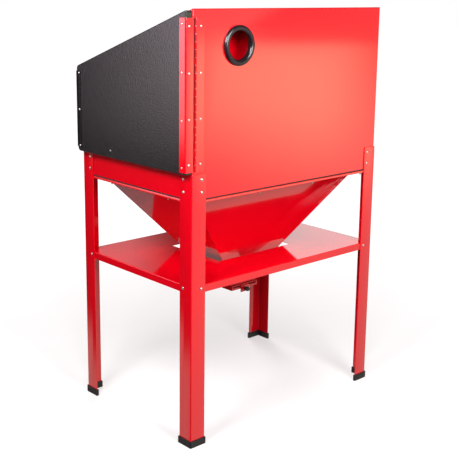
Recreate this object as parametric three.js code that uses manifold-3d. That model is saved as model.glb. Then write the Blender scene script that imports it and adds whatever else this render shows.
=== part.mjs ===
// Sandblast cabinet: a sheet-metal blasting chamber on four folded legs, with a side-loading door,
// an abrasive hopper that drops through a shelf, and a slide gate under the hopper.
// Millimetres, +Z up. The operator stands on the -Y side and the door is on the +X side.
import * as THREE from "three";
import { mergeVertices } from "three/addons/utils/BufferGeometryUtils.js";
import Module from "manifold-3d";

const wasm = await Module();
wasm.setup();

// ---- Driving dimensions -------------------------------------------------------------------------
const GAP = 0.3; // clearance between pieces that touch
const PAST = 9; // how far a cutting tool runs past what it cuts
const SHEET = 1.6; // body sheet
const LEG_SHEET = 2.5;
const LEG_X = 457; // outer face of the legs' side flanges
const LEG_Y = 306.8; // outer face of the legs' front and back flanges
const LEG_FLANGE = 60;
const LEG_TOP = 942;
const FOOT_TALL = 25;
const FOOT_WALL = 3.5;
const BODY_X = LEG_X - LEG_SHEET - GAP; // outer face of the side panels
const BODY_Y = LEG_Y - LEG_SHEET - GAP; // outer face of the front and back panels
const BODY_BOTTOM = 858;
const FRONT_TOP = 1252; // lid surface at the front
const BACK_TOP = 1463; // lid surface at the back
const LID_SLOPE = (BACK_TOP - FRONT_TOP) / (2 * BODY_Y);
const LID_ANGLE = Math.atan(LID_SLOPE);
const SHELF_TOP = 568;
const SHELF_FLANGE = 26;
const CUTOUT_X = 180; // half size of the shelf's cutout
const CUTOUT_Y = 135;
const RIM_TOP = 855; // hopper rim
const RIM_DROP = 7; // hem under the rim
const MOUTH = { x: 411, y: 252, z: RIM_TOP - SHEET }; // half size of the hopper's mouth
const THROAT = { x: 53.5, y: 67.5, z: 470 }; // half size where the slopes end
const THROAT_BOTTOM = 430;
const HOPPER_SHEET = 2.2; // measured level, across the sloping walls
const GRATE = { x: 448, y: 298, tall: 12, bar: 4, across: 24, deep: 4 };
const GATE = { x: 66, y: 78, wall: 6, tall: 14, plate: 3, lip: 26, out: 82, knob: 100 };
const PICKUP = { x: -60, y: 20, z: 560, tilt: 0.52, radius: 11, bore: 8.5, low: -105, high: 235 };
const DOOR_IN = 457; // the door tray's inner rim
const DOOR_OUT = 482; // the door's outer face
const DOOR_FRONT = -301;
const DOOR_BACK = BODY_Y;
const DOOR_BOTTOM = 944;
const DOOR_DROP = 4; // how far the door's top lies under the lid surface
const HINGE = { x: 444.5, low: 951, high: 1435, leaf: 38, barrel: 5, pin: 2.6, knuckles: 20 };
const LATCH = { x: 420, stud: 468, studRadius: 3, slot: 4.3, heights: [1030, 1165] };
const DOORWAY = { low: 1000, rear: 258, front: -250, border: 70 };
const ARM = { x: 190, z: 1078, hole: 92, flange: 118, depth: 42 };
const WINDOW = { y: -70, halfX: 300, halfY: 175, rim: 20 };
const EXHAUST = { x: 259, z: 1345, inner: 46.5, hole: 54, outer: 66 };
const BAFFLE = { half: 80, deep: 75, low: 1262, high: 1425 }; // pocket behind the exhaust port
const LIGHT = { y: 165, x: 240, half: 38, tall: 42, wall: 4, lens: 4 };
const SWITCH = { x: [300, 360], z: [1192, 1226], tall: 34, deep: 20, margin: 13 };
const INLET = { y: 120, z: 960, hole: 11, bore: 4 };
const GUN = { x: -405, z: 1010, y: 60, radius: 17 };
const RIVET = 4.2; // radius of a rivet head

// ---- Materials ----------------------------------------------------------------------------------
function paint(hex, roughness, metalness) {
  return new THREE.MeshStandardMaterial({ color: hex, roughness, metalness });
}
const RED = paint(0xd8121f, 0.22, 0.1);
const BLACK_TEXTURED = paint(0x2b2a2c, 0.7, 0.1);
const STEEL = paint(0xb9bcc0, 0.3, 0.9);
const RUBBER = paint(0x141414, 0.6, 0);
const PLASTIC = paint(0x1b1b1d, 0.35, 0);
const ALUMINIUM = paint(0xd0d2d4, 0.35, 0.9);
const GLASS = new THREE.MeshStandardMaterial({
  color: 0xdfeaf0, roughness: 0.05, metalness: 0, transparent: true, opacity: 0.35,
});
const LENS = paint(0xf4f4ee, 0.4, 0);
const CERAMIC = paint(0xe9e2d2, 0.5, 0);

// ---- Solids -------------------------------------------------------------------------------------
function solid(geometry, matrix) {
  const plain = geometry.index ? geometry.toNonIndexed() : geometry.clone();
  plain.deleteAttribute("normal");
  plain.deleteAttribute("uv");
  if (matrix) plain.applyMatrix4(matrix);
  const merged = mergeVertices(plain, 1e-4);
  return new wasm.Manifold(
    new wasm.Mesh({
      numProp: 3,
      vertProperties: new Float32Array(merged.attributes.position.array),
      triVerts: new Uint32Array(merged.index.array),
    }),
  );
}

function geometryOf(body) {
  const made = body.getMesh();
  const points = new Float32Array(made.numVert * 3);
  for (let i = 0; i < made.numVert; i++) {
    points.set(made.vertProperties.subarray(i * made.numProp, i * made.numProp + 3), i * 3);
  }
  const geometry = new THREE.BufferGeometry();
  geometry.setAttribute("position", new THREE.BufferAttribute(points, 3));
  geometry.setIndex(new THREE.BufferAttribute(new Uint32Array(made.triVerts), 1));
  geometry.computeVertexNormals();
  return geometry;
}

const cabinet = new THREE.Group();

function piece(name, body, material) {
  const mesh = new THREE.Mesh(geometryOf(body), material);
  mesh.name = name;
  cabinet.add(mesh);
}

function at(x, y, z) {
  return new THREE.Matrix4().makeTranslation(x, y, z);
}

// A block between two opposite corners, given axis by axis as [low, high].
function block(x, y, z, matrix) {
  const size = [x, y, z].map(([low, high]) => high - low);
  const middle = [x, y, z].map(([low, high]) => (low + high) / 2);
  const place = at(...middle);
  if (matrix) place.premultiply(matrix);
  return solid(new THREE.BoxGeometry(...size), place);
}

function join(bodies) {
  return bodies.reduce((whole, next) => whole.add(next));
}

function cut(body, tools) {
  return tools.reduce((left, tool) => left.subtract(tool), body);
}

// A cylinder along one axis, from low to high, centred on the other two coordinates.
function rod(axis, radius, low, high, centre, sides = 16, farRadius = radius) {
  const turn = {
    x: new THREE.Matrix4().makeRotationZ(-Math.PI / 2),
    y: new THREE.Matrix4(),
    z: new THREE.Matrix4().makeRotationX(Math.PI / 2),
  }[axis];
  const middle = (low + high) / 2;
  const place = {
    x: at(middle, centre[0], centre[1]),
    y: at(centre[0], middle, centre[1]),
    z: at(centre[0], centre[1], middle),
  }[axis];
  const geometry = new THREE.CylinderGeometry(farRadius, radius, high - low, sides);
  return solid(geometry, place.multiply(turn));
}

// An outline of [a, b] points in the YZ plane (a = y, b = z), extruded along X.
function alongX(points, low, high) {
  const shape = new THREE.Shape(points.map(([a, b]) => new THREE.Vector2(a, b)));
  const geometry = new THREE.ExtrudeGeometry(shape, { depth: high - low, bevelEnabled: false });
  const place = new THREE.Matrix4().set(0, 0, 1, low, 1, 0, 0, 0, 0, 1, 0, 0, 0, 0, 0, 1);
  return solid(geometry, place);
}

// An outline of [x, y] points, extruded along Z.
function alongZ(points, low, high) {
  const shape = new THREE.Shape(points.map(([a, b]) => new THREE.Vector2(a, b)));
  const geometry = new THREE.ExtrudeGeometry(shape, { depth: high - low, bevelEnabled: false });
  return solid(geometry, at(0, 0, low));
}

// A turned ring or plug: [radius, depth] points, with depth measured along +Y from the given place.
function turnedY(profile, place, sides) {
  const points = profile.map(([r, d]) => new THREE.Vector2(r, d));
  return solid(new THREE.LatheGeometry(points, sides), at(...place));
}

// A rivet head on a face: a low dome made of two steps, pointing along +X or +Y.
function rivetHead(axis, along, centre) {
  return rod(axis, RIVET, along - 0.5, along + 2.2, centre, 10, RIVET * 0.55);
}

function lidHeight(y) {
  return FRONT_TOP + (y + BODY_Y) * LID_SLOPE;
}

// ---- Body panels --------------------------------------------------------------------------------
function bodyPanels() {
  const under = SHEET + GAP;
  const y = [-BODY_Y, BODY_Y];
  const skin = alongX(
    [
      [y[0], lidHeight(y[0]) - SHEET],
      [y[1], lidHeight(y[1]) - SHEET],
      [y[1], lidHeight(y[1])],
      [y[0], lidHeight(y[0])],
    ],
    -BODY_X,
    BODY_X,
  );
  const { halfX, halfY, rim } = WINDOW;
  const light = block([rim - halfX, halfX - rim], [rim - halfY, halfY - rim], [-20, 20], lidPlane());
  piece("lid_panel", cut(skin, [light]), RED);

  const exhaust = rod("y", EXHAUST.hole, BODY_Y - PAST, BODY_Y + PAST, [EXHAUST.x, EXHAUST.z], 32);
  const back = block([-BODY_X, BODY_X], [BODY_Y - SHEET, BODY_Y], [BODY_BOTTOM, BACK_TOP - under - 1]);
  piece("back_panel", cut(back, [exhaust]), RED);

  const arms = [-1, 1].map((side) =>
    rod("y", ARM.hole + GAP + 3, -BODY_Y - PAST, -BODY_Y + PAST, [side * ARM.x, ARM.z], 32),
  );
  const front = block([-BODY_X, BODY_X], [-BODY_Y, SHEET - BODY_Y], [BODY_BOTTOM, FRONT_TOP - under]);
  piece("front_panel", cut(front, arms), RED);

  const inner = BODY_Y - SHEET - GAP;
  const side = [
    [-inner, BODY_BOTTOM],
    [inner, BODY_BOTTOM],
    [inner, lidHeight(inner) - under],
    [-inner, lidHeight(-inner) - under],
  ];
  const inlet = rod("x", INLET.hole, -BODY_X - PAST, -BODY_X + PAST, [INLET.y, INLET.z], 16);
  piece("fixed_side_panel", cut(alongX(side, -BODY_X, SHEET - BODY_X), [inlet]), RED);

  const { low, rear, front: fore, border } = DOORWAY;
  const mouth = [
    [fore, low],
    [rear, low],
    [rear, lidHeight(rear) - border],
    [fore, lidHeight(fore) - border],
  ];
  const doorway = alongX(mouth, BODY_X - PAST, BODY_X + PAST);
  piece("doorway_panel", cut(alongX(side, BODY_X - SHEET, BODY_X), [doorway]), RED);
}

// ---- Window on the sloping lid ------------------------------------------------------------------
// Local axes of the lid: x across, y up the slope, z out of it, from the window's centre.
function lidPlane() {
  return at(0, WINDOW.y, lidHeight(WINDOW.y)).multiply(new THREE.Matrix4().makeRotationX(LID_ANGLE));
}

function windowParts() {
  const { halfX, halfY, rim } = WINDOW;
  const plane = lidPlane();
  const slab = (grow, z) => block([-halfX - grow, halfX + grow], [-halfY - grow, halfY + grow], z, plane);
  const sealTop = GAP + 3;
  const glassTop = sealTop + GAP + 5;
  const frameTop = glassTop + GAP + 2;
  piece("window_seal", cut(slab(0, [GAP, sealTop]), [slab(-rim, [-9, 20])]), RUBBER);
  piece("window_glass", slab(0, [sealTop + GAP, glassTop]), GLASS);
  const frame = cut(slab(18, [GAP, frameTop]), [slab(GAP, [-9, glassTop + GAP]), slab(-rim, [-9, 20])]);
  piece("window_frame", frame, RED);
}

// ---- Work light inside the lid ------------------------------------------------------------------
function workLight() {
  const { y, x, half, tall, wall, lens } = LIGHT;
  const plane = at(0, y, lidHeight(y)).multiply(new THREE.Matrix4().makeRotationX(LID_ANGLE));
  const top = -SHEET - GAP;
  const bar = (inset, z) => block([inset - x, x - inset], [inset - half, half - inset], z, plane);
  const shell = cut(bar(0, [top - tall, top]), [bar(wall, [top - tall - 8, top - 3])]);
  piece("light_housing", shell, ALUMINIUM);
  piece("light_lens", bar(wall + 0.5, [top - tall, top - tall + lens]), LENS);
}

// ---- Arm ports, gloves and their clamps ---------------------------------------------------------
function armPort(side, name) {
  const place = [side * ARM.x, -BODY_Y, ARM.z];
  const wall = 3;
  const ring = [
    [ARM.hole - 2, -5],
    [ARM.flange - 3, -5],
    [ARM.flange, -3.5],
    [ARM.flange, -GAP],
    [ARM.hole + wall, -GAP],
    [ARM.hole + wall, ARM.depth],
    [ARM.hole, ARM.depth],
    [ARM.hole, -2],
    [ARM.hole - 2, -5],
  ];
  piece("arm_ring_" + name, turnedY(ring, place, 32), PLASTIC);

  // The glove: a cuff over the ring's sleeve, a forearm that sinks towards the grate, and a hand.
  const cuff = ARM.hole + wall + GAP;
  const glove = [
    [cuff, 10],
    [cuff + 3, 10],
    [cuff + 3, ARM.depth + 6],
    [82, 120],
    [66, 230],
    [55, 300],
    [58, 345],
    [44, 420],
    [0, 440],
    [0, 436],
    [40, 416],
    [54, 345],
    [51, 300],
    [62, 230],
    [78, 118],
    [cuff, ARM.depth + 4],
    [cuff, 10],
  ];
  const geometry = new THREE.LatheGeometry(glove.map(([r, d]) => new THREE.Vector2(r, d)), 32);
  const point = geometry.attributes.position;
  for (let i = 0; i < point.count; i++) {
    const sink = Math.max(0, point.getY(i) - ARM.depth - 8);
    const flat = 1 - 0.4 * THREE.MathUtils.smoothstep(point.getY(i), 240, 400);
    point.setZ(i, point.getZ(i) * flat - sink * sink * 0.00095);
  }
  piece("glove_" + name, solid(geometry, at(...place)), RUBBER);

  const band = [
    [cuff + 3 + GAP, 22],
    [cuff + 5, 22],
    [cuff + 5, 34],
    [cuff + 3 + GAP, 34],
    [cuff + 3 + GAP, 22],
  ];
  const screw = block([-9, 9], [22, 34], [cuff + 3.9, cuff + 13], at(...place));
  piece("glove_clamp_" + name, turnedY(band, place, 32).add(screw), STEEL);
}

// ---- Exhaust grommet in the back panel ----------------------------------------------------------
function exhaustGrommet() {
  const { inner, hole, outer } = EXHAUST;
  const arc = [];
  const [middle, half, tall] = [(inner + outer) / 2, (outer - inner) / 2, 11];
  for (let i = 1; i < 8; i++) {
    const turn = (Math.PI * i) / 8;
    arc.push([middle + half * Math.cos(turn), 1.5 + tall * Math.sin(turn)]);
  }
  const profile = [
    [inner, 1.5],
    [inner, -9],
    [hole + 6, -9],
    [hole + 6, -SHEET - GAP],
    [hole - GAP, -SHEET - GAP],
    [hole - GAP, GAP],
    [outer, GAP],
    [outer, 1.5],
    ...arc,
    [inner, 1.5],
  ];
  piece("exhaust_grommet", turnedY(profile, [EXHAUST.x, BODY_Y, EXHAUST.z], 40), RUBBER);
}

// The baffle: a folded pocket behind the port, open at the bottom, that keeps abrasive out of the hose.
function exhaustBaffle() {
  const { half, deep, low, high } = BAFFLE;
  const rear = BODY_Y - SHEET - GAP;
  const front = rear - deep;
  const [left, right] = [EXHAUST.x - half, EXHAUST.x + half];
  const shell = block([left, right], [front, rear], [low, high]);
  const inside = [left + SHEET, right - SHEET];
  const hollow = block(inside, [front + SHEET, rear + PAST], [low - PAST, high - SHEET]);
  piece("exhaust_baffle", cut(shell, [hollow]), RED);
}

// ---- Hopper, its throat and the slide gate ------------------------------------------------------
// A sheet that fills the space between the legs, with its four edges folded down.
function foldedPan(top, tall) {
  const [x, y] = [BODY_X - SHEET, BODY_Y - SHEET];
  const under = block([-x, x], [-y, y], [top - tall - PAST, top - SHEET]);
  return cut(block([-BODY_X, BODY_X], [-BODY_Y, BODY_Y], [top - tall, top]), [under]);
}

// A sloping wall of the hopper on the +X or +Y side: a flat sheet with mitred ends. Its corners are
// given along the wall's own direction and across it.
function hopperWall(along, sign) {
  const across = along === "x" ? "y" : "x";
  const top = { ...MOUTH, z: MOUTH.z - GAP };
  const geometry = new THREE.BoxGeometry(2, 2, 2);
  const corner = geometry.attributes.position;
  for (let i = 0; i < corner.count; i++) {
    const level = corner.getZ(i) > 0 ? top : THROAT;
    const inward = corner.getX(i) > 0 ? 0 : HOPPER_SHEET;
    const out = sign * (level[along] - inward);
    const side = sign * corner.getY(i) * (level[across] - inward - GAP);
    const [x, y] = along === "x" ? [out, side] : [-side, out];
    corner.setXYZ(i, x, y, level.z);
  }
  return solid(geometry);
}

function hopperParts() {
  piece("hopper_wall_right", hopperWall("x", 1), RED);
  piece("hopper_wall_left", hopperWall("x", -1), RED);
  piece("hopper_wall_back", hopperWall("y", 1), RED);
  piece("hopper_wall_front", hopperWall("y", -1), RED);
  const level = RIM_TOP - SHEET;
  const lip = HOPPER_SHEET;
  const mouth = block(
    [lip - MOUTH.x, MOUTH.x - lip],
    [lip - MOUTH.y, MOUTH.y - lip],
    [level - PAST, level + PAST],
  );
  piece("hopper_rim", cut(foldedPan(RIM_TOP, RIM_DROP + SHEET), [mouth]), RED);

  // Throat: a rectangular tube welded under the slopes, with a flange for the gate's guides.
  const wall = 2.5;
  const tube = block([-THROAT.x, THROAT.x], [-THROAT.y, THROAT.y], [THROAT_BOTTOM, THROAT.z - GAP]);
  const height = [THROAT_BOTTOM - PAST, THROAT.z + PAST];
  const bore = block([wall - THROAT.x, THROAT.x - wall], [wall - THROAT.y, THROAT.y - wall], height);
  const flange = block([-GATE.x, GATE.x], [-GATE.y, GATE.y], [THROAT_BOTTOM, THROAT_BOTTOM + wall]);
  piece("hopper_throat", cut(join([tube, flange]), [bore]), RED);
}

function slideGate() {
  // Guides: a channel on three sides that holds the plate against the flange.
  const under = THROAT_BOTTOM - GAP;
  const { x, y, wall, tall, out } = GATE;
  const guide = cut(block([-x, x], [-y, y], [under - tall, under]), [
    block([wall - x, x - wall], [wall - y, y + 12], [under - 6, under + 1]),
    block([20 - x, x - 20], [18 - y, y - 18], [under - 20, under + 1]),
  ]);
  piece("gate_guide", guide, RED);

  const top = under - GAP;
  const fit = wall + 0.5;
  const plate = block([fit - x, x - fit], [fit - y, out], [top - GATE.plate, top]);
  const lip = block([-22, 22], [out - GATE.plate, out], [top - GATE.lip, top]);
  piece("gate_plate", plate.add(lip), RED);
  piece("gate_knob", rod("y", 7, out + GAP, GATE.knob, [0, top - 14], 16, 9), PLASTIC);
}

// Pick-up tube: stands in the abrasive at the bottom of the hopper and feeds the gun.
function pickupTube() {
  const { radius, bore, low, high } = PICKUP;
  const slant = at(PICKUP.x, PICKUP.y, PICKUP.z).multiply(new THREE.Matrix4().makeRotationY(-PICKUP.tilt));
  const upright = new THREE.Matrix4().makeRotationX(Math.PI / 2);
  const pipe = (r, z) => {
    const place = slant.clone().multiply(at(0, 0, (z[0] + z[1]) / 2)).multiply(upright);
    return solid(new THREE.CylinderGeometry(r, r, z[1] - z[0], 14), place);
  };
  piece("pickup_tube", cut(pipe(radius, [low, high]), [pipe(bore, [low - PAST, high + PAST])]), STEEL);
}

// ---- Work grate ---------------------------------------------------------------------------------
// A sheet of slots: cells across X and Y, with a bar left between each two.
function workGrate() {
  const { x: halfX, y: halfY, bar, across, deep } = GRATE;
  const z = [RIM_TOP + 1, RIM_TOP + 1 + GRATE.tall];
  const [stepX, stepY] = [(2 * halfX - bar) / across, (2 * halfY - bar) / deep];
  const cells = [];
  for (let i = 0; i < across; i++) {
    for (let j = 0; j < deep; j++) {
      const x = bar - halfX + i * stepX;
      const y = bar - halfY + j * stepY;
      cells.push(block([x, x + stepX - bar], [y, y + stepY - bar], [z[0] - PAST, z[1] + PAST]));
    }
  }
  piece("work_grate", cut(block([-halfX, halfX], [-halfY, halfY], z), cells), STEEL);
}

// ---- Legs, feet and shelf -----------------------------------------------------------------------
function corner(sx, sy, outset, thick, flange) {
  const [x, y] = [LEG_X + outset, LEG_Y + outset];
  const points = [
    [x, y],
    [x - flange, y],
    [x - flange, y - thick],
    [x - thick, y - thick],
    [x - thick, y - flange],
    [x, y - flange],
  ].map(([a, b]) => [a * sx, b * sy]);
  return sx * sy > 0 ? points : points.reverse();
}

function legAndFoot(sx, sy, name) {
  const floor = 5;
  const leg = alongZ(corner(sx, sy, 0, LEG_SHEET, LEG_FLANGE), floor + GAP, LEG_TOP);
  piece("leg_" + name, leg, RED);
  const section = (grow) => corner(sx, sy, grow, LEG_SHEET + 2 * grow, LEG_FLANGE + 2 * grow);
  const boot = alongZ(section(FOOT_WALL), 0, FOOT_TALL);
  piece("foot_" + name, cut(boot, [alongZ(section(GAP), floor, FOOT_TALL + PAST)]), RUBBER);
}

function shelf() {
  const cutout = block(
    [-CUTOUT_X, CUTOUT_X],
    [-CUTOUT_Y, CUTOUT_Y],
    [SHELF_TOP - PAST, SHELF_TOP + PAST],
  );
  piece("shelf", cut(foldedPan(SHELF_TOP, SHELF_FLANGE), [cutout]), RED);
}

// ---- Loading door, its seal and its hinge -------------------------------------------------------
function arcCorner(centre, radius, from, to, steps = 5) {
  const points = [];
  for (let i = 0; i <= steps; i++) {
    const turn = from + ((to - from) * i) / steps;
    points.push([centre[0] + radius * Math.cos(turn), centre[1] + radius * Math.sin(turn)]);
  }
  return points;
}

// The door's outline in YZ, pulled in by a margin, with rounded front corners.
function doorOutline(margin, radius = 14) {
  const [front, back] = [DOOR_FRONT + margin, DOOR_BACK - margin];
  const low = DOOR_BOTTOM + margin;
  const round = Math.max(radius - margin, 1);
  const top = (y) => lidHeight(y) - DOOR_DROP - margin / Math.cos(LID_ANGLE);
  const bend = Math.PI / 2 - LID_ANGLE;
  const lift = round * Math.tan(bend / 2);
  return [
    ...arcCorner([front + round, low + round], round, Math.PI, 1.5 * Math.PI),
    [back, low],
    [back, top(back)],
    ...arcCorner([front + round, top(front) - lift], round, Math.PI / 2 + LID_ANGLE, Math.PI),
  ];
}

function loadingDoor() {
  const hollow = alongX(doorOutline(SHEET), DOOR_IN + SHEET, DOOR_OUT - SHEET);
  const mouth = alongX(doorOutline(24), DOOR_IN - 5, DOOR_IN + 5);
  piece("door_tray", cut(alongX(doorOutline(0), DOOR_IN, DOOR_OUT), [hollow, mouth]), BLACK_TEXTURED);

  const low = BODY_X + GAP;
  const middle = alongX(doorOutline(21), low - PAST, DOOR_IN + PAST);
  piece("door_seal", cut(alongX(doorOutline(3), low, DOOR_IN - GAP), [middle]), RUBBER);
}

// Every second barrel belongs to each leaf of the piano hinge.
function barrels(first) {
  const pitch = (HINGE.high - HINGE.low) / HINGE.knuckles;
  const y = DOOR_BACK + GAP + HINGE.barrel;
  const solids = [];
  for (let i = first; i < HINGE.knuckles; i += 2) {
    const low = HINGE.low + i * pitch + GAP;
    solids.push(rod("z", HINGE.barrel, low, low + pitch - 2 * GAP, [HINGE.x, y], 12));
  }
  return solids;
}

function pianoHinge() {
  const face = DOOR_BACK + GAP;
  const z = [HINGE.low, HINGE.high];
  const pitch = (z[1] - z[0]) / HINGE.knuckles;
  const bore = rod("z", HINGE.pin + GAP, z[0] - 5, z[1] + 5, [HINGE.x, face + HINGE.barrel], 12);
  const notch = (i) => {
    const low = z[0] + i * pitch;
    return block([HINGE.x - 7, HINGE.x + 7], [face - 1, face + 14], [low - GAP, low + pitch + GAP]);
  };
  const notches = (first) => Array.from({ length: HINGE.knuckles / 2 }, (_, i) => notch(first + 2 * i));

  const rivets = [0, 1, 2, 3].map((i) => 976 + i * 144.5);
  const fixed = block([HINGE.x - HINGE.leaf, HINGE.x - GAP], [face, face + SHEET], z);
  const heads = rivets.map((height) => rivetHead("y", face + SHEET, [HINGE.x - 24, height]));
  const cabinetLeaf = join([cut(fixed, notches(0)), ...barrels(1), ...heads]);
  piece("hinge_cabinet_leaf", cut(cabinetLeaf, [bore]), RED);

  const out = DOOR_OUT + GAP;
  const back = block([HINGE.x + GAP, out + SHEET], [face, face + SHEET], z);
  const side = block([out, out + SHEET], [face - 28, face + SHEET], z);
  const backHeads = rivets.map((height) => rivetHead("y", face + SHEET, [HINGE.x + 23.5, height]));
  const sideHeads = [0, 1, 2, 3].map((i) => rivetHead("x", out + SHEET, [face - 16, 967 + i * 150]));
  const doorLeaf = join([cut(back, notches(1)), side, ...barrels(0), ...backHeads, ...sideHeads]);
  piece("hinge_door_leaf", cut(doorLeaf, [bore]), RED);

  piece("hinge_pin", rod("z", HINGE.pin, z[0], z[1], [HINGE.x, face + HINGE.barrel], 12), STEEL);
}

// ---- Swing latches on the front edge of the door ------------------------------------------------
function latchAngle() {
  const [out, face] = [DOOR_OUT + GAP, DOOR_FRONT - GAP];
  const z = [960, 1232];
  const parts = [
    block([out, out + SHEET], [face - SHEET, face + 23], z),
    block([DOOR_IN + 1, out + SHEET], [face - SHEET, face], z),
  ];
  for (const height of LATCH.heights) {
    parts.push(rod("y", LATCH.studRadius, -BODY_Y - 9, face - 1, [LATCH.stud, height], 14));
  }
  piece("latch_angle", join(parts), BLACK_TEXTURED);
}

function swingLatch(height, name) {
  const { x: pivot, slot: gape } = LATCH;
  const face = -BODY_Y - GAP;
  const base = block([pivot - 16, pivot + 16], [face - 2, face], [height - 26, height + 26]);
  const stud = rod("y", 4, face - 10, face - 1, [pivot, height], 14);
  const cap = rod("y", 8, face - 10.5, face - 8, [pivot, height], 14);
  piece("latch_plate_" + name, join([base, stud, cap]), STEEL);

  // The bar stands upright when free, and swings down over the door's stud.
  const reach = LATCH.stud - pivot;
  const y = [face - 5.5, face - 2 - GAP];
  const through = [y[0] - PAST, y[1] + PAST];
  const rest = height + reach; // where the stud comes to lie
  const bar = block([pivot - 9, pivot + 9], y, [height - 11, rest + 14]);
  const slot = block([pivot - gape, pivot + 9 + PAST], through, [rest - gape, rest + gape]);
  const hole = rod("y", 4 + GAP, ...through, [pivot, height], 14);
  const grip = rod("y", 7, y[0] - 16, y[0] + 1, [pivot - 1, height + reach / 2], 14, 5);
  piece("latch_bar_" + name, cut(bar, [hole, slot]).add(grip), STEEL);
}

// ---- Light switch, cord gland and air inlet -----------------------------------------------------
function services() {
  const face = -BODY_Y - GAP;
  const { x, z, tall, deep, margin } = SWITCH;
  const well = [x[0] + margin, x[1] - margin];
  const [low, high] = [z[0] + 7, z[1] - 7];
  const shell = block(x, [face - tall, face], z);
  const hollow = block(well, [face - tall - 6, face - deep], [low, high]);
  piece("switch_box", cut(shell, [hollow]), PLASTIC);
  const back = face - deep - 2;
  const rocker = alongX(
    [
      [back, low + 2.5],
      [back, high - 2.5],
      [back - 12.5, high - 2.5],
      [back - 10, low + 10],
      [back - 16.5, low + 2.5],
    ],
    well[0] + 1.5,
    well[1] - 1.5,
  );
  piece("switch_rocker", rocker, PLASTIC);
  const middle = (x[0] + x[1]) / 2;
  piece("cord_gland", rod("z", 8, z[0] - 14, z[0] - GAP, [middle, face - tall / 2], 12), PLASTIC);

  const centre = [INLET.y, INLET.z];
  const hex = rod("x", 14, -BODY_X - 8, -BODY_X - GAP, centre, 6);
  const spigot = rod("x", 7, -BODY_X - 34, -BODY_X + 26, centre, 14);
  const barrel = rod("x", INLET.hole - 0.5, -BODY_X - 1, -BODY_X + 12, centre, 14);
  const bore = rod("x", INLET.bore, -BODY_X - 40, -BODY_X + 40, centre, 12);
  piece("air_inlet", cut(join([hex, spigot, barrel]), [bore]), STEEL);
}

// ---- Blast gun in its cradle --------------------------------------------------------------------
function blastGun() {
  const { x, y, z } = GUN;
  const barrel = rod("y", GUN.radius, y - 60, y + 62, [x, z], 20);
  const grip = alongX(
    [
      [y + 22, z - 10],
      [y + 38, z - 98],
      [y + 66, z - 94],
      [y + 56, z - 10],
    ],
    x - 12,
    x + 12,
  );
  const slot = block([x - 5, x + 5], [y + 10, y + 34], [z - 70, z - 14]);
  const inlet = rod("y", 8, y + 60, y + 92, [x, z], 14, 6.5);
  const air = rod("z", 7, z - 120, z - 90, [x, y + 52], 12);
  piece("gun_body", cut(join([barrel, grip, inlet, air]), [slot]), ALUMINIUM);

  const bore = rod("y", 4, y - 130, y - 40, [x, z], 12);
  const tip = rod("y", 9, y - 104, y - 60 - GAP, [x, z], 16, 12);
  piece("gun_nozzle", cut(tip, [bore]), CERAMIC);

  const trigger = alongX(
    [
      [y + 11, z - 17.5],
      [y + 20, z - 17.5],
      [y + 17, z - 40],
      [y + 23, z - 70],
      [y + 16, z - 74],
      [y + 6, z - 42],
    ],
    x - 4,
    x + 4,
  );
  piece("gun_trigger", trigger, STEEL);

  const wall = SHEET - BODY_X + GAP;
  const plate = block([wall, wall + 3], [y - 50, y - 10], [z - 60, z + 20]);
  const arm = block([wall, x + 24], [y - 44, y - 16], [z - 36, z - 6]);
  const saddle = rod("y", GUN.radius + GAP, y - 90, y + 60, [x, z], 20);
  piece("gun_cradle", cut(join([plate, arm]), [saddle]), STEEL);
}

// ---- Assembly -----------------------------------------------------------------------------------
bodyPanels();
windowParts();
workLight();
armPort(-1, "left");
armPort(1, "right");
exhaustGrommet();
exhaustBaffle();
hopperParts();
slideGate();
pickupTube();
workGrate();
for (const [sx, sy, name] of [
  [-1, -1, "front_left"],
  [1, -1, "front_right"],
  [-1, 1, "back_left"],
  [1, 1, "back_right"],
]) {
  legAndFoot(sx, sy, name);
}
shelf();
loadingDoor();
pianoHinge();
latchAngle();
swingLatch(LATCH.heights[0], "lower");
swingLatch(LATCH.heights[1], "upper");
services();
blastGun();

// The part's origin is on the floor, under the middle of its outside box.
const box = new THREE.Box3().setFromObject(cabinet);
cabinet.position.set(-(box.min.x + box.max.x) / 2, -(box.min.y + box.max.y) / 2, -box.min.z);

export default cabinet;
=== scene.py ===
"""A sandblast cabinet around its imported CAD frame: red powder-coated sheet metal on folded legs, a black
textured loading door on a piano hinge, an abrasive hopper through the shelf, gloves and a blast gun.
Shapes are worked out in millimetres from the cabinet's middle, +Z up from the floor."""

from math import atan, atan2, cos, pi, radians, sin, tan

import bmesh
import bpy
from mathutils import Matrix, Vector, noise


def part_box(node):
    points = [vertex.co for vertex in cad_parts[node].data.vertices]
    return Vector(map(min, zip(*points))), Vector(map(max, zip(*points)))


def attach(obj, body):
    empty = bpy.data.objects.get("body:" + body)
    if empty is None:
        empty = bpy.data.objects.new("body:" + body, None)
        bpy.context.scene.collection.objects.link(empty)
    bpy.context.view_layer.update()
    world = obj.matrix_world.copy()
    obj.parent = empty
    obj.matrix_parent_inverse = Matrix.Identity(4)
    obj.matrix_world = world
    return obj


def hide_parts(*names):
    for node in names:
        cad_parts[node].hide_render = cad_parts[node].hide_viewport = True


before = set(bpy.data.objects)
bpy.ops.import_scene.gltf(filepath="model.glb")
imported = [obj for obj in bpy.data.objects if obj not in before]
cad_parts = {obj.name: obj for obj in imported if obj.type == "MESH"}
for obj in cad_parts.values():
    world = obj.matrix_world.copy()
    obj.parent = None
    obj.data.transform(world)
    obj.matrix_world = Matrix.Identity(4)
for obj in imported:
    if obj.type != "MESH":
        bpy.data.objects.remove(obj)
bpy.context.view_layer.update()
scene = bpy.context.scene

# ---- Frame ----
MM = 0.001
shelf_low, shelf_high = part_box("shelf")
CENTRE = (shelf_low + shelf_high) / 2 / MM
CENTRE.z = 0


def cad(node):
    """Lowest and highest corner of a CAD node, in millimetres from the cabinet's middle."""
    low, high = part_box(node)
    return low / MM - CENTRE, high / MM - CENTRE


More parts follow.
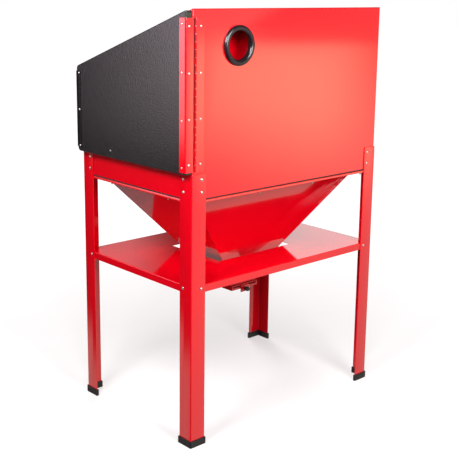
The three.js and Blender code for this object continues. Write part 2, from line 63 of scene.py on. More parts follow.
def middle_of(node):
    low, high = cad(node)
    return (low + high) / 2


# ---- Driving dimensions, from the frame where it has them ----
GAP = 0.3
SHEET = 1.6
BEND = 3.5  # outside radius of a folded sheet edge
CUT = 9.0  # how far a cutting tool reaches past a face
BODY_X, BODY_Y, SHELF_TOP = cad("shelf")[1]
SHELF_LOW = cad("shelf")[0].z
CUTOUT = (180.0, 135.0)  # half the opening in the shelf
BODY_BOTTOM = cad("back_panel")[0].z
# The panels stop short of their CAD foot, so that the dark strip of painted shade below them shows.
PANEL_FOOT = BODY_BOTTOM + 1.5
BACK_TOP = cad("lid_panel")[1].z
FRONT_TOP = cad("lid_panel")[0].z + SHEET
SLOPE = (BACK_TOP - FRONT_TOP) / (2 * BODY_Y)
LID_ANGLE = atan(SLOPE)
WINDOW_Y = -70.0
WINDOW = (300.0, 175.0)  # half the glass
LEG_X, LEG_Y, LEG_TOP = cad("leg_back_right")[1]
LEG_SHEET = 2.5
LEG_FLANGE = 60.0
SCREW_IN = 43.0  # from a leg's corner to the screws in its flanges
LEG_SCREWS = [SHELF_TOP - 10.4, BODY_BOTTOM + 23.3, LEG_TOP - 18.5]
RIM_TOP = cad("hopper_rim")[1].z
RIM_LOW = RIM_TOP - SHEET - 7
MOUTH = (411.0, 252.0, RIM_TOP - SHEET)  # half width, half depth and height
THROAT = (cad("hopper_throat")[1].x, 67.5, 470.0)
(DOOR_IN, DOOR_FRONT, DOOR_BOTTOM), (DOOR_OUT, DOOR_BACK, _) = cad("door_tray")
DOOR_DROP = 4.0  # from the lid down to the door's top edge
HINGE_X, HINGE_Y, _ = middle_of("hinge_pin")
HINGE_LOW, HINGE_HIGH = (end.z for end in cad("hinge_pin"))
HINGE_FACE = BODY_Y + GAP
HINGE_RIVETS = [976 + 144.5 * i for i in range(4)]
LATCH_X = 420.0
LATCH_Z = {"lower": 1030.0, "upper": 1165.0}
STUD_X = 468.0  # the door's studs, which the latch bars close over
ARM_X = 190.0
ARM_Z = middle_of("arm_ring_left").z
ARM_HOLE = 92.0
ARM_DEPTH = 42.0
EXHAUST_X, _, EXHAUST_Z = middle_of("exhaust_grommet")
EXHAUST_HOLE = 54.0
INLET = (-BODY_X, 120.0, 960.0)  # the compressed air's way in


def lid_height(y):
    return FRONT_TOP + (y + BODY_Y) * SLOPE


# ---- Materials ----
class Nodes:
    """Adds nodes to a tree. An input takes a value, or a socket to link; its name has _ for a space."""

    def __init__(self, tree):
        self.tree = tree

    def feed(self, socket, value):
        if isinstance(value, bpy.types.NodeSocket):
            self.tree.links.new(value, socket)
        else:
            socket.default_value = value

    def fill(self, node, **inputs):
        for socket, value in inputs.items():
            self.feed(node.inputs[socket.replace("_", " ")], value)
        return node

    def node(self, kind, **inputs):
        return self.fill(self.tree.nodes.new(kind), **inputs)

    def maths(self, operation, *values, kind="ShaderNodeMath"):
        made = self.node(kind)
        made.operation = operation
        for socket, value in zip(made.inputs, values):
            self.feed(socket, value)
        return made.outputs["Value"]

    def ramp(self, value, start, end, low=0.0, high=1.0, kind="LINEAR"):
        made = self.node(
            "ShaderNodeMapRange", Value=value, From_Min=start, From_Max=end, To_Min=low, To_Max=high)
        made.interpolation_type = kind
        return made.outputs[0]

    def mix(self, factor, *colours):
        """One colour where the factor is 0 and another where it is 1."""
        made = self.node("ShaderNodeMix", Factor=factor)
        made.data_type = "RGBA"
        for socket, colour in zip(made.inputs[6:8], colours):
            self.feed(socket, (*colour, 1) if isinstance(colour, tuple) else colour)
        return made.outputs[2]


class Finish(Nodes):
    """A node material: object coordinates feed its noise, and one principled shader ends it."""

    def __init__(self, name, **sockets):
        self.material = bpy.data.materials.new(name)
        self.material.use_nodes = True
        super().__init__(self.material.node_tree)
        self.shader = self.fill(self.tree.nodes["Principled BSDF"], **sockets)
        self.place = self.node("ShaderNodeTexCoord").outputs["Object"]

    def noise(self, scale, detail=2.0, rough=0.5, stretch=(1, 1, 1)):
        """Fine-grain noise with `scale` features to the metre."""
        place = self.node("ShaderNodeMapping", Vector=self.place, Scale=stretch).outputs[0]
        made = self.node("ShaderNodeTexNoise", Vector=place, Scale=scale, Detail=detail, Roughness=rough)
        return made.outputs["Fac"]

    def cells(self, scale):
        return self.node("ShaderNodeTexVoronoi", Vector=self.place, Scale=scale).outputs["Distance"]

    def add(self, a, b, share):
        return self.maths("MULTIPLY_ADD", b, share, a)

    def colour(self, factor, low, high, start=0.3, end=0.7):
        """Spreads the colours between two over a factor."""
        self.fill(self.shader, Base_Color=self.mix(self.ramp(factor, start, end), low, high))

    def roughness(self, factor, low, high):
        self.fill(self.shader, Roughness=self.ramp(factor, 0.3, 0.7, low, high))

    def bump(self, height, strength, depth, coat=False):
        made = self.node("ShaderNodeBump", Height=height, Strength=strength, Distance=depth * MM)
        self.fill(self.shader, Normal=made.outputs[0])
        if coat:
            self.fill(self.shader, Coat_Normal=made.outputs[0])


FINISHES = {}


def finish(**sockets):
    """Makes the material that a function describes, and keeps it under the function's name."""
    def keep(describe):
        made = Finish(describe.__name__, **sockets)
        describe(made)
        FINISHES[describe.__name__] = made.material
        return describe
    return keep


@finish(Coat_Weight=1.0, Coat_Roughness=0.03, IOR=1.5)
def red_paint(f):
    """Gloss powder coat: a faint orange peel, and a clear skin that mirrors the studio."""
    f.colour(f.noise(4, 3), (0.66, 0.0, 0.0075), (0.72, 0.0005, 0.0095))
    f.roughness(f.noise(60, 3), 0.08, 0.14)
    f.bump(f.add(f.noise(300, 2), f.noise(28, 1), 0.8), 0.05, 0.3, coat=True)


@finish(IOR=1.7)
def black_texture(f):
    """Wrinkle powder coat: small soft-edged grains over a slower unevenness."""
    grain = f.add(f.noise(160, 2, 0.6), f.noise(480, 2), 0.3)
    f.colour(grain, (0.0050, 0.0042, 0.0056), (0.0085, 0.0072, 0.0096), 0.4, 0.95)
    f.roughness(f.noise(160, 2), 0.12, 0.17)
    f.bump(grain, 0.5, 0.7)


@finish(Metallic=1.0)
def bright_steel(f):
    f.colour(f.noise(150, 3), (0.60, 0.585, 0.58), (0.72, 0.705, 0.70))
    f.roughness(f.noise(400, 3), 0.24, 0.38)
    f.bump(f.noise(900, 2), 0.06, 0.1)


@finish(Metallic=1.0)
def grate_steel(f):
    """Galvanised bars with their zinc crystals."""
    f.colour(f.cells(90), (0.46, 0.48, 0.50), (0.66, 0.68, 0.70), 0.0, 0.6)
    f.roughness(f.noise(220, 4), 0.35, 0.55)
    f.bump(f.noise(600, 3), 0.15, 0.2)


@finish(IOR=1.5)
def rubber(f):
    f.colour(f.noise(90, 4), (0.005, 0.005, 0.0055), (0.012, 0.0115, 0.012))
    f.roughness(f.noise(200, 3), 0.46, 0.64)
    f.bump(f.add(f.noise(800, 3), f.noise(110, 2), 0.5), 0.12, 0.2)


@finish(IOR=1.55)
def gloss_rubber(f):
    f.colour(f.noise(60, 3), (0.006, 0.004, 0.006), (0.012, 0.009, 0.012))
    f.roughness(f.noise(150, 3), 0.18, 0.26)
    f.bump(f.noise(500, 2), 0.04, 0.2)


@finish(IOR=1.46)
def black_plastic(f):
    f.colour(f.noise(80, 3), (0.014, 0.014, 0.015), (0.024, 0.024, 0.025))
    f.roughness(f.noise(260, 2), 0.30, 0.42)
    f.bump(f.noise(1200, 2), 0.12, 0.12)


@finish(Metallic=1.0)
def aluminium(f):
    f.colour(f.noise(120, 4), (0.62, 0.63, 0.65), (0.74, 0.75, 0.76))
    f.roughness(f.noise(350, 3), 0.34, 0.5)
    f.bump(f.noise(700, 4), 0.12, 0.2)


@finish(Transmission_Weight=1.0, IOR=1.46)
def glass(f):
    f.colour(f.noise(3, 2), (0.90, 0.96, 0.93), (0.95, 0.98, 0.96))
    f.roughness(f.noise(12, 4), 0.0, 0.03)


@finish(IOR=1.49, Subsurface_Weight=0.2)
def lens(f):
    """The work light's ribbed diffuser."""
    f.colour(f.noise(30, 2), (0.86, 0.87, 0.84), (0.92, 0.92, 0.90))
    f.roughness(f.noise(200, 2), 0.3, 0.42)
    f.bump(f.noise(260, 1, 0.5, (1, 0.02, 0.02)), 0.3, 0.4)


@finish(IOR=1.6)
def ceramic(f):
    f.colour(f.noise(90, 4), (0.70, 0.64, 0.52), (0.80, 0.75, 0.64))
    f.roughness(f.noise(300, 3), 0.42, 0.6)
    f.bump(f.noise(900, 3), 0.15, 0.15)


# ---- Shells: (points, faces) in millimetres ----
def new_object(name, data):
    made = bpy.data.objects.new(name, data)
    scene.collection.objects.link(made)
    return made


def solved(made):
    """An object's mesh after its modifiers."""
    bpy.context.view_layer.update()
    graph = bpy.context.evaluated_depsgraph_get()
    return bpy.data.meshes.new_from_object(made.evaluated_get(graph))


def mesh_of(shell, scale=1.0, shift=Vector()):
    """A mesh with welded points and its faces turned outward."""
    points, faces = shell
    mesh = bpy.data.meshes.new("shell")
    mesh.from_pydata([(Vector(p) + shift) * scale for p in points], [], faces)
    work = bmesh.new()
    work.from_mesh(mesh)
    bmesh.ops.remove_doubles(work, verts=work.verts[:], dist=2e-3 * scale)
    bmesh.ops.recalc_face_normals(work, faces=work.faces[:])
    work.to_mesh(mesh)
    work.free()
    return mesh


def merge(*shells):
    points, faces = [], []
    for more, sides in shells:
        start = len(points)
        points += list(more)
        faces += [tuple(i + start for i in side) for side in sides]
    return points, faces


def moved(shell, matrix):
    return [tuple(matrix @ Vector(p)) for p in shell[0]], shell[1]


def loft(loops, closed=False):
    """A skin over loops with the same number of points, capped unless it closes on itself."""
    count, last = len(loops[0]), len(loops) - 1
    points = [tuple(p) for loop in loops for p in loop]
    rows = [(a, a + 1) for a in range(last)] + [(last, 0)] * closed
    steps = [(i, (i + 1) % count) for i in range(count)]
    faces = [
        (a * count + i, a * count + j, b * count + j, b * count + i) for a, b in rows for i, j in steps
    ]
    if not closed:
        faces += [tuple(range(count)), tuple(range(last * count, len(points)))]
    return points, faces


def place(axis, u, v, depth):
    """The plane's two coordinates and the depth along its axis, as a point."""
    return Vector({"x": (depth, u, v), "y": (u, depth, v), "z": (u, v, depth)}[axis])


def prism(outline, axis, low, high):
    return loft([[place(axis, u, v, depth) for u, v in outline] for depth in (low, high)])


def brick(x, y, z):
    return prism([(x[0], y[0]), (x[1], y[0]), (x[1], y[1]), (x[0], y[1])], "z", z[0], z[1])


def spin(rings, centre, axis="z", sides=32, closed=False, sign=1):
    """Rings of (radius, depth), or of (half across flats, depth, "hex"), turned about an axis."""
    third = pi / 3
    turns = [2 * pi * i / sides for i in range(sides)]
    loops = []
    for radius, depth, *kind in rings:
        loop = []
        for turn in turns:
            reach = radius / cos(turn % third - third / 2) if kind else radius
            point = place(axis, reach * cos(turn), reach * sin(turn), depth * sign)
            loop.append(Vector(centre) + point)
        loops.append(loop)
    return loft(loops, closed)


def bore(radius, centre, axis, sides=64, reach=CUT):
    """A tool that cuts a round hole."""
    return spin([(radius, -reach), (radius, reach)], centre, axis, sides)


def limb(path, sizes, sides):
    """A tube along a 3-D path, with a half width and half height at each station."""
    loops = []
    turns = [2 * pi * k / sides for k in range(sides)]
    for i, (here, (wide, tall)) in enumerate(zip(path, sizes)):
        before, after = path[max(i - 1, 0)], path[min(i + 1, len(path) - 1)]
        along = (after - before).normalized()
        side = along.cross(Vector((0, 0, 1))).normalized()
        up = side.cross(along)
        loops.append([here + side * wide * cos(t) + up * tall * sin(t) for t in turns])
    return loft(loops)


def rounded(corners, radii, steps=5):
    """A closed outline with every corner turned into an arc of its radius."""
    radii = radii if isinstance(radii, list) else [radii] * len(corners)
    outline = []
    for i, (corner, radius) in enumerate(zip(corners, radii)):
        if radius <= 0:
            outline.append(tuple(corner))
            continue
        q = Vector(corner)
        a = (Vector(corners[i - 1]) - q).normalized()
        b = (Vector(corners[(i + 1) % len(corners)]) - q).normalized()
        half = a.angle(b) / 2
        middle = q + (a + b).normalized() * (radius / sin(half))
        start, end = (q + side * (radius / tan(half)) - middle for side in (a, b))
        sweep = end.angle_signed(start)
        for k in range(steps + 1):
            outline.append(tuple(middle + Matrix.Rotation(sweep * k / steps, 2) @ start))
    return outline


def offset(path, by):
    """An open path moved by a distance to its left, with mitred joins."""
    steps = [(Vector(b) - Vector(a)).normalized() for a, b in zip(path, path[1:])]
    sides = [Vector((-d.y, d.x)) for d in steps]
    out = []
    for corner, before, after in zip(path, sides[:1] + sides, sides + sides[-1:]):
        middle = (before + after).normalized()
        out.append(tuple(Vector(corner) + middle * (by / middle.dot(before))))
    return out


def strip(path, thick, bend):
    """The outline of a sheet folded along an open path, which is its outer face. It lies to the left."""
    inner = offset(path, thick)
    folds = len(path) - 2
    radii = [0] + [bend] * folds + [0, 0] + [max(bend - abs(thick), 0.3)] * folds + [0]
    return rounded(list(path) + inner[::-1], radii)


def rectangle(half_x, half_y, radius, steps=5, middle=(0, 0)):
    x, y = middle
    corners = [
        (x + half_x, y + half_y), (x - half_x, y + half_y),
        (x - half_x, y - half_y), (x + half_x, y - half_y),
    ]
    return rounded(corners, max(radius, 0.05), steps)


def ring_stack(stations, closed=True):
    """Rounded rectangles of (half x, half y, z, corner radius), lofted."""
    return loft([[(a, b, z) for a, b in rectangle(x, y, r)] for x, y, z, r in stations], closed)


def grown(size, *rings):
    """Stations of ring_stack, from rings of (growth, z, corner radius) round one half size."""
    return [(size[0] + by, size[1] + by, z, r) for by, z, r in rings]


def carve(shell, *tools):
    """Cuts the tools out of a shell."""
    whole = new_object("whole", mesh_of(shell))
    cutters = [new_object("cutter", mesh_of(tool)) for tool in tools]
    for cutter in cutters:
        step = whole.modifiers.new("cut", "BOOLEAN")
        step.operation = "DIFFERENCE"
        step.solver = "EXACT"
        step.object = cutter
    result = solved(whole)
    for spent in (whole, *cutters):
        bpy.data.objects.remove(spent)
    return [tuple(v.co) for v in result.vertices], [tuple(p.vertices) for p in result.polygons]


def piece(name, shell, finish, nodes=(), body="cabinet", bevel=0.0, crease=38):
    """A finished piece on its body, standing for CAD nodes. Its edges are rounded by `bevel` mm."""
    mesh = mesh_of(shell, MM, CENTRE)
    mesh.name = name
    made = new_object(name, mesh)
    mesh.materials.append(FINISHES[finish])
    mesh.shade_smooth()
    if bevel:
        edge = made.modifiers.new("edges", "BEVEL")
        edge.width = bevel * MM
        edge.segments = 3
        edge.limit_method = "ANGLE"
        edge.angle_limit = radians(crease)
        edge.harden_normals = True
    else:
        mesh.set_sharp_from_angle(angle=radians(crease))
        level = made.modifiers.new("shading", "WEIGHTED_NORMAL")
        level.keep_sharp = True
    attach(made, body)
    if nodes:
        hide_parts(*nodes)
    return made


# ---- Fasteners ----
def heads(axis, sign, spots, radius=4.9, tall=2.6, recess=True):
    """Domed heads that stand out of a face, with a hexagon recess or a rivet's dimple."""
    rings = [(radius * 0.96, 0), (radius, 0.15 * tall)]
    for i in range(1, 6):
        turn = pi / 2 * i / 6
        rings.append((radius * cos(turn), tall * (0.15 + 0.85 * sin(turn))))
    low = rings[-1][0]
    if recess:
        rings += [(low * 0.98, tall), (low * 0.72, tall, "hex"), (low * 0.66, tall * 0.4, "hex")]
    else:
        rings += [(low * 0.9, tall * 0.97), (low * 0.6, tall * 0.75), (low * 0.3, tall * 0.7)]
    return merge(*[spin(rings, spot, axis, 24, sign=sign) for spot in spots])


def washer(axis, sign, centre, radius, hole, thick=0.9):
    rings = [(hole, 0), (radius, 0), (radius, thick * 0.7), (radius - 0.3, thick), (hole, thick)]
    return spin(rings, centre, axis, 24, closed=True, sign=sign)


def nut(axis, sign, centre, flats=4.0, tall=3.2, stud=2.0, reach=2.0):
    """A hexagon nut with the end of its screw showing."""
    tip = tall + reach
    rings = [
        (flats - 0.4, 0), (flats, 0.3, "hex"), (flats, tall - 0.4, "hex"), (flats - 0.5, tall),
        (stud + 0.5, tall), (stud, tall - 0.3), (stud, tip - 0.4), (stud - 0.4, tip),
    ]
    return spin(rings, centre, axis, 24, sign=sign)


# ---- Chamber panels ----
RETURN = 14.0  # how far the front and back panels wrap round to the sides


def wrap_panel(sign):
    """Front or back panel: a sheet with both upright edges folded round to the sides."""
    x, y = BODY_X, BODY_Y * sign
    path = [(-x, y - RETURN * sign), (-x, y), (x, y), (x, y - RETURN * sign)]
    return strip(path, SHEET * -sign, BEND)


def under_lid(front, rear, low, drop):
    """Outline in y and z of a plate whose top edge runs a drop below the lid."""
    return [(front, low), (rear, low), (rear, lid_height(rear) - drop), (front, lid_height(front) - drop)]


def chamber():
    under = SHEET + GAP
    near, far, clear = BODY_Y - 40, BODY_Y + CUT, BACK_TOP + 60
    above = prism(
        [(near, lid_height(near) - under), (far, lid_height(far) - under), (far, clear), (near, clear)],
        "x", -BODY_X - CUT, BODY_X + CUT)
    hole = bore(EXHAUST_HOLE, (EXHAUST_X, BODY_Y, EXHAUST_Z), "y")
    back = carve(prism(wrap_panel(1), "z", PANEL_FOOT, BACK_TOP - under - 1), hole, above)
    arms = [bore(ARM_HOLE + 3.3, (side * ARM_X, -BODY_Y, ARM_Z), "y") for side in (-1, 1)]
    front = carve(prism(wrap_panel(-1), "z", PANEL_FOOT, FRONT_TOP - under), *arms)

    inner = BODY_Y - RETURN - 0.5
    side = under_lid(-inner, inner, PANEL_FOOT, under)
    fixed = carve(prism(side, "x", -BODY_X, SHEET - BODY_X), bore(11, INLET, "x", 32))
    mouth = prism(rounded(under_lid(-250, 258, 1000, 70), 12), "x", BODY_X - CUT, BODY_X + CUT)
    doorway = carve(prism(side, "x", BODY_X - SHEET, BODY_X), mouth)
    for name, panel in (("back", back), ("front", front), ("fixed_side", fixed), ("doorway", doorway)):
        piece(name + "_skin", panel, "red_paint", [name + "_panel"], bevel=0.35)


def rim_shadow_strip():
    """A thin rubber strip between the four panels and the hopper's rim, set back a little: painted shade, a
    dark band that stands in for the shadowed gap there.
    """
    x, y = BODY_X - 0.8, BODY_Y - 0.8
    band = brick((-x, x), (-y, y), (RIM_TOP + 0.05, PANEL_FOOT - 0.05))
    x, y = BODY_X - 5, BODY_Y - 5
    inside = brick((-x, x), (-y, y), (RIM_TOP - CUT, PANEL_FOOT + CUT))
    piece("rim_shadow_strip", carve(band, inside), "rubber", bevel=0.2)


# ---- Lid, window and work light ----
def lid_plane(y):
    """Local axes of the lid: x across, y up the slope, z out of it."""
    return Matrix.Translation((0, y, lid_height(y))) @ Matrix.Rotation(LID_ANGLE, 4, "X")


def lid():
    plane = lid_plane(WINDOW_Y)
    wide, deep = WINDOW
    rim, overlap = 20, 18
    light = ring_stack(grown(WINDOW, (-rim, -20, 14), (-rim, 20, 14)), closed=False)
    front, back = lid_height(-BODY_Y), lid_height(BODY_Y)
    skin = [(-BODY_Y, front - SHEET), (BODY_Y, back - SHEET), (BODY_Y, back), (-BODY_Y, front)]
    sheet = carve(prism(skin, "x", -BODY_X, BODY_X), moved(light, plane))
    piece("lid_skin", sheet, "red_paint", ["lid_panel"], bevel=0.5)

    seal_top = GAP + 3
    glass_top = seal_top + GAP + 5
    frame_top = glass_top + GAP + 2
    seal = [(0, GAP, 18), (0, seal_top, 18), (-rim, seal_top, 12), (-rim, GAP, 12)]
    pane = [
        (-1, seal_top + GAP, 17), (0, seal_top + GAP + 0.8, 18), (0, glass_top - 0.8, 18),
        (-1, glass_top, 17),
    ]
    bezel = [
        (overlap, GAP, 26), (overlap, frame_top - 2, 26), (overlap - 0.7, frame_top - 0.6, 25),
        (overlap - 2, frame_top, 24), (1 - rim, frame_top, 12), (-rim, frame_top - 0.8, 11.5),
        (-rim, glass_top + GAP, 11.5), (GAP, glass_top + GAP, 18.3), (GAP, GAP, 18.3),
    ]
    for name, rings, finish, node in (
        ("window_gasket", seal, "rubber", "window_seal"),
        ("window_pane", pane, "glass", "window_glass"),
        ("window_bezel", bezel, "red_paint", "window_frame"),
    ):
        shell = ring_stack(grown(WINDOW, *rings), closed=rings is not pane)
        piece(name, moved(shell, plane), finish, [node])
    spots = [(x, s * (deep + 6), frame_top) for x in (-288, -144, 0, 144, 288) for s in (-1, 1)]
    spots += [(s * (wide + 6), y, frame_top) for y in (-88, 88) for s in (-1, 1)]
    piece("window_screws", moved(heads("z", 1, spots, 4.0, 2.0), plane), "bright_steel")


def work_light():
    """A folded trough under the lid, with a ribbed diffuser in its mouth."""
    plane = lid_plane(165)
    top = -SHEET - GAP
    trough = ring_stack([
        (240, 38, top - 41, 5), (240, 38, top - 1, 5), (239, 37, top, 4), (120, 12, top, 2),
        (120, 12, top - 2.6, 2), (235, 33, top - 3, 3), (236, 34, top - 4.5, 4), (236, 34, top - 42, 4),
        (238, 36, top - 42, 4.5),
    ])
    piece("light_trough", moved(trough, plane), "aluminium", ["light_housing"])
    low = top - 41.1
    loops = []
    for i in range(48):
        swell = low if i % 2 else low - 0.9
        section = [(-33, low + 3), (33, low + 3), (33, low), (20, swell), (-20, swell), (-33, low)]
        loops.append([(10 * i - 235, y, z) for y, z in section])
    piece("light_diffuser", moved(loft(loops), plane), "lens", ["light_lens"])


# ---- Arm ports and gloves ----
def arm_ring(side, name):
    hole, wall, flange, screws = ARM_HOLE, 3, 118, 107
    rings = [(hole - 2, -3.6), (hole - 1, -4.7), (hole + 1, -5)]
    rings += [(flange - 5, -5), (flange - 2, -4.4), (flange - 0.4, -2.8), (flange, -GAP)]
    rings += [(hole + wall, -GAP), (hole + wall, ARM_DEPTH - 1), (hole + wall - 1, ARM_DEPTH)]
    rings += [(hole + 0.6, ARM_DEPTH), (hole, ARM_DEPTH - 1), (hole, -1), (hole - 0.6, -1.8)]
    x = side * ARM_X
    ring = spin(rings, (x, -BODY_Y, ARM_Z), "y", 96, closed=True)
    piece("port_ring_" + name, ring, "black_plastic", ["arm_ring_" + name])
    turns = [radians(45 + 90 * i) for i in range(4)]
    spots = [(x + screws * cos(a), -BODY_Y - 5, ARM_Z + screws * sin(a)) for a in turns]
    piece("port_screws_" + name, heads("y", -1, spots, 4.5, 2.2), "bright_steel")


def glove_line(depth):
    """Centre of the glove at a depth behind the front panel: it sags towards the grate."""
    sag = max(0, depth - ARM_DEPTH - 8)
    return Vector((0, -BODY_Y + depth, ARM_Z - sag * sag * 0.00095))


def glove_solid():
    """Sleeve, palm, four fingers and a thumb as overlapping limbs, about x = 0."""
    cuff = ARM_HOLE + 3 + GAP
    stations = [
        (8, cuff + 2.6, cuff + 2.6), (48, cuff + 2.6, cuff + 2.6), (80, 91, 90), (120, 81, 79),
        (175, 73, 70), (230, 65, 60), (275, 57, 50), (300, 52, 42), (325, 54, 36), (350, 55, 31),
        (372, 52, 27), (386, 42, 20),
    ]
    parts = [limb([glove_line(d) for d, _, _ in stations], [size for _, *size in stations], 48)]
    for i, (reach, size) in enumerate([(42, 10.5), (50, 11.5), (47, 11.5), (36, 10)]):
        across = -33 + 22 * i
        start = glove_line(352) + Vector((across * 0.9, 0, 0))
        tip = glove_line(375 + reach) + Vector((across * 1.08, -6, -2))
        line, sizes = [], []
        for t, share in ((0, 1), (0.25, 1), (0.5, 1), (0.75, 0.94), (0.93, 0.66), (1, 0.2)):
            line.append(start.lerp(tip, t) + Vector((0, 0, 5 * sin(t * pi))))
            sizes.append((size * share, size * share))
        parts.append(limb(line, sizes, 16))
    thumb = [(305, 30, 6, 17), (322, 50, 10, 16), (345, 64, 10, 13), (368, 66, 7, 9), (376, 66, 6, 3)]
    line = [glove_line(depth) + Vector((x, 0, z)) for depth, x, z, _ in thumb]
    parts.append(limb(line, [(size, size) for *_, size in thumb], 16))
    return merge(*parts)


def wrinkled(work, side):
    """Folds round a glove's sleeve and dents all over it, fading towards the cuff and the hand."""
    moves = []
    for v in work.verts:
        p = v.co / MM - CENTRE
        depth = p.y + BODY_Y
        fade = min(1, max(0, depth - 50) / 25) * (1 - 0.75 * min(1, max(0, depth - 290) / 60))
        drift = noise.noise(p * 0.02 + Vector((side * 7, 0, 0)))
        round_sleeve = atan2(p.z - ARM_Z, p.x - side * ARM_X)
        fold = sin(depth * 0.24 + 5.0 * drift + 1.3 * sin(round_sleeve))
        dent = noise.noise(p * 0.045)
        moves.append(v.normal * MM * fade * (1.7 * fold * abs(fold) + 2.2 * dent - 1.6))
    for v, move in zip(work.verts, moves):
        v.co += move


def glove(side, name):
    """The limbs fused and softened, opened at the cuff, wrinkled and given a wall."""
    turn = Matrix.Translation((side * ARM_X, 0, 0)) @ Matrix.Diagonal((-side, 1, 1, 1))
    made = piece("glove_skin_" + name, moved(glove_solid(), turn), "rubber", ["glove_" + name])
    made.modifiers.clear()
    fuse = made.modifiers.new("fuse", "REMESH")
    fuse.voxel_size = 3.4 * MM
    soften = made.modifiers.new("soften", "SMOOTH")
    soften.iterations = 7
    mesh = solved(made)
    made.modifiers.clear()
    old, made.data = made.data, mesh
    bpy.data.meshes.remove(old)
    mesh.name = made.name
    work = bmesh.new()
    work.from_mesh(mesh)
    opening = (CENTRE.y - BODY_Y + 11) * MM
    mouth = [f for f in work.faces if f.calc_center_median().y < opening]
    bmesh.ops.delete(work, geom=mouth, context="FACES")
    work.normal_update()
    wrinkled(work, side)
    work.to_mesh(mesh)
    work.free()
    mesh.shade_smooth()
    mesh.materials.clear()
    mesh.materials.append(FINISHES["rubber"])
    wall = made.modifiers.new("wall", "SOLIDIFY")
    wall.thickness = 2.0 * MM
    wall.offset = -1


def glove_clamp(side, name):
    """A steel band round the cuff, with its worm drive on top."""
    cuff = ARM_HOLE + 6 + GAP
    x, y, z = side * ARM_X, -BODY_Y, ARM_Z + cuff + 1.2
    band = [(cuff + 0.4, 22), (cuff + 2, 22), (cuff + 2, 34), (cuff + 0.4, 34)]
    strap = spin(band, (x, y, ARM_Z), "y", 96, closed=True)
    box = loft([
        [(a, b, height) for a, b in rectangle(8 - cut, 6 - cut, 2, middle=(x, y + 28))]
        for cut, height in ((0, z), (0, z + 7), (1, z + 8))
    ])
    screw = spin([(3, 8), (3.4, 8, "hex"), (3.4, 13, "hex"), (2.9, 13.6)], (x, y + 28, z + 4), "x", 24)
    piece("clamp_" + name, merge(strap, box, screw), "bright_steel", ["glove_clamp_" + name])


# ---- Exhaust grommet ----
def grommet():
    """A fat rubber ring that lines the port, gripping the back panel between its two lips."""
    inner, outer, tall = 46.5, 66.0, 10.5
    hole, sheet = EXHAUST_HOLE, -SHEET - GAP
    middle, half = (inner + outer) / 2, (outer - inner) / 2
    rings = [(outer - 0.8, GAP), (outer - 0.1, 1.2)]
    for i in range(1, 14):
        turn = pi * i / 14
        rings.append((middle + half * cos(turn), 1.6 + tall * sin(turn) ** 0.8))
    rings += [
        (inner, 0), (inner, -6), (inner + 0.8, -8.2), (inner + 2.5, -9), (hole + 4, -9), (hole + 6, -7),
        (hole + 6, sheet), (hole - GAP, sheet), (hole - GAP, GAP),
    ]
    shell = spin(rings, (EXHAUST_X, BODY_Y, EXHAUST_Z), "y", 96, closed=True)
    piece("port_grommet", shell, "gloss_rubber", ["exhaust_grommet"])


def baffle():
    """A folded red pocket behind the port, open at the bottom."""
    low, high = cad("exhaust_baffle")
    path = [(low.x, high.y), (low.x, low.y), (high.x, low.y), (high.x, high.y)]
    wall = prism(strip(path, SHEET, 3), "z", low.z, high.z - 1)
    roof = brick((low.x + 2, high.x - 2), (low.y + 2, high.y), (high.z - SHEET, high.z))
    piece("exhaust_pocket", merge(wall, roof), "red_paint", ["exhaust_baffle"], bevel=0.3)


# ---- Hopper, throat and slide gate ----
HOPPER_NODES = ["hopper_rim"] + ["hopper_wall_" + side for side in ("left", "right", "front", "back")]
SPOUT_FLANGE = (66, 78)


def hopper():
    """A funnel of four sloping walls under a flanged rim, with a spout at its foot."""
    thick, level, foot = 2.2, RIM_TOP - SHEET, THROAT[2]
    up, run = ((MOUTH[i] - THROAT[i]) / (MOUTH[2] - foot) for i in (0, 1))
    body, inner = (BODY_X, BODY_Y), (BODY_X - SHEET, BODY_Y - SHEET)
    funnel = ring_stack([
        *grown(THROAT, (0, foot, 2)),
        (MOUTH[0] - 3 * up, MOUTH[1] - 3 * run, level - 3, 3),
        *grown(MOUTH, (-0.8, level - 0.9, 3), (2, level, 4)),
        *grown(inner, (-2, level, 1), (0, level - 2, 1), (0, RIM_LOW, 1)),
        *grown(body, (-0.3, RIM_LOW - 0.2, 2), (0, RIM_LOW + 0.4, 2), (0, RIM_TOP - 2.5, 2)),
        *grown(body, (-0.9, RIM_TOP - 0.7, 2), (-2.8, RIM_TOP, 2)),
        *grown(MOUTH, (0, RIM_TOP, 4), (-2.2, RIM_TOP - 0.8, 4)),
        (MOUTH[0] - thick - 5 * up, MOUTH[1] - thick - 5 * run, level - 5, 3),
        *grown(THROAT, (-thick, foot, 1.5)),
    ])
    piece("hopper_funnel", funnel, "red_paint", HOPPER_NODES, crease=30)
    low, top = cad("hopper_throat")[0].z, foot - GAP
    spout = ring_stack([
        *grown(THROAT, (0, top, 2), (0, low + 4, 2), (2, low + 2.5, 3)),
        *grown(SPOUT_FLANGE, (0, low + 2.5, 4), (0, low, 4)),
        *grown(THROAT, (-2.5, low, 2), (-2.5, top, 2)),
    ])
    piece("hopper_spout", spout, "red_paint", ["hopper_throat"])


